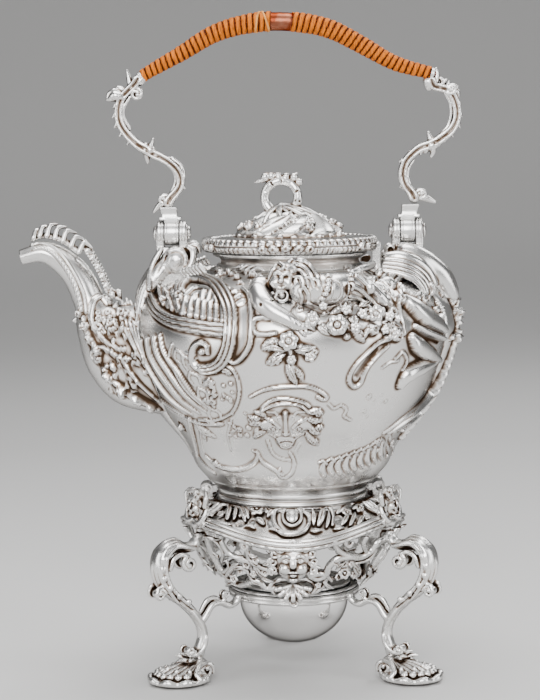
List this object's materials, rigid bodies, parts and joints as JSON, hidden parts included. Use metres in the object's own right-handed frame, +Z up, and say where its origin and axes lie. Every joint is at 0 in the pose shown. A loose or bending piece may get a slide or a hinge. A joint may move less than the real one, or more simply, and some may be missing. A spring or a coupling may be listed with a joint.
{
  "type": "tea kettle on stand",
  "caption": "Rococo silver tea kettle with a wicker-bound swing handle, on a three-legged stand with a spirit lamp.",
  "frame": {"origin": "on the kettle's axis, in the plane that the three feet stand on", "axes": "+Z up along the kettle's axis, spout towards -X, front towards -Y"},
  "size_m": [0.2539, 0.1896, 0.3756],
  "materials": {
    "silver": "polished and chased sterling silver",
    "wicker": "split cane wound round the grip, varnished",
    "wick": "woven cotton"
  },
  "bodies": {
    "stand": {"stand_seat": "silver", "rim_band": "silver", "stand_rim": "silver", "apron_front": "silver", "apron_rear_left": "silver", "apron_rear_right": "silver", "leg_left": "silver", "leg_right": "silver", "leg_rear": "silver", "foot_left": "silver", "foot_right": "silver", "foot_rear": "silver", "leg_masks": "silver", "lamp_brackets": "silver", "lamp_ring": "silver", "hinge_fork": "silver", "lock_fork": "silver", "tilt_pin": "silver"},
    "lock_pin": {"locking_pin": "silver"},
    "lid": {"lid_cover": "silver", "lid_border": "silver", "lid_flange": "silver", "lid_knuckle": "silver", "lid_finial": "silver", "finial_nut": "silver"},
    "bail": {"bail_knuckle_left": "silver", "bail_knuckle_right": "silver", "bail_arm_left": "silver", "bail_arm_right": "silver", "grip_core": "silver", "grip_wicker": "wicker"},
    "lamp": {"lamp_bowl": "silver"},
    "burner": {"lamp_cover": "silver", "wick_tube": "silver", "wick": "wick"},
    "kettle": {"kettle_body": "silver", "kettle_bowl": "silver", "foot_ring": "silver", "neck_collar": "silver", "hinge_lug": "silver", "lock_lug": "silver", "spout_root": "silver", "spout_neck": "silver", "spout_crest": "silver", "bail_socket_left": "silver", "bail_socket_right": "silver", "bail_pins": "silver", "shoulder_scroll": "silver", "cherub_front": "silver", "cherub_back": "silver", "garland_front": "silver", "garland_back": "silver", "shell_frame_front": "silver", "shell_frame_back": "silver", "wave_scrolls_front": "silver", "wave_scrolls_back": "silver", "animal_masks": "silver", "base_border": "silver", "lid_hinge_lug": "silver", "lid_hinge_pin": "silver"}
  },
  "joints": [
    {"name": "kettle_tilt", "type": "hinge", "parent": "stand", "child": "kettle", "pos_m": [-0.0495, 0, 0.104], "axis": [0, -1, 0], "range_deg": [0, 45]},
    {"name": "pin_push", "type": "slide", "parent": "stand", "child": "lock_pin", "axis": [0, -1, 0], "range_m": [0, 0.009]},
    {"name": "bail_swing", "type": "hinge", "parent": "kettle", "child": "bail", "pos_m": [0, 0, 0.251], "axis": [1, 0, 0], "range_deg": [-80, 80]},
    {"name": "lid_open", "type": "hinge", "parent": "kettle", "child": "lid", "pos_m": [0.049, 0, 0.243], "axis": [0, 1, 0], "range_deg": [0, 60]},
    {"name": "lamp_lift", "type": "slide", "parent": "stand", "child": "lamp", "axis": [0, 0, 1], "range_m": [0, 0.025]},
    {"name": "burner_lift", "type": "slide", "parent": "lamp", "child": "burner", "axis": [0, 0, 1], "range_m": [0, 0.008]}
  ]
}
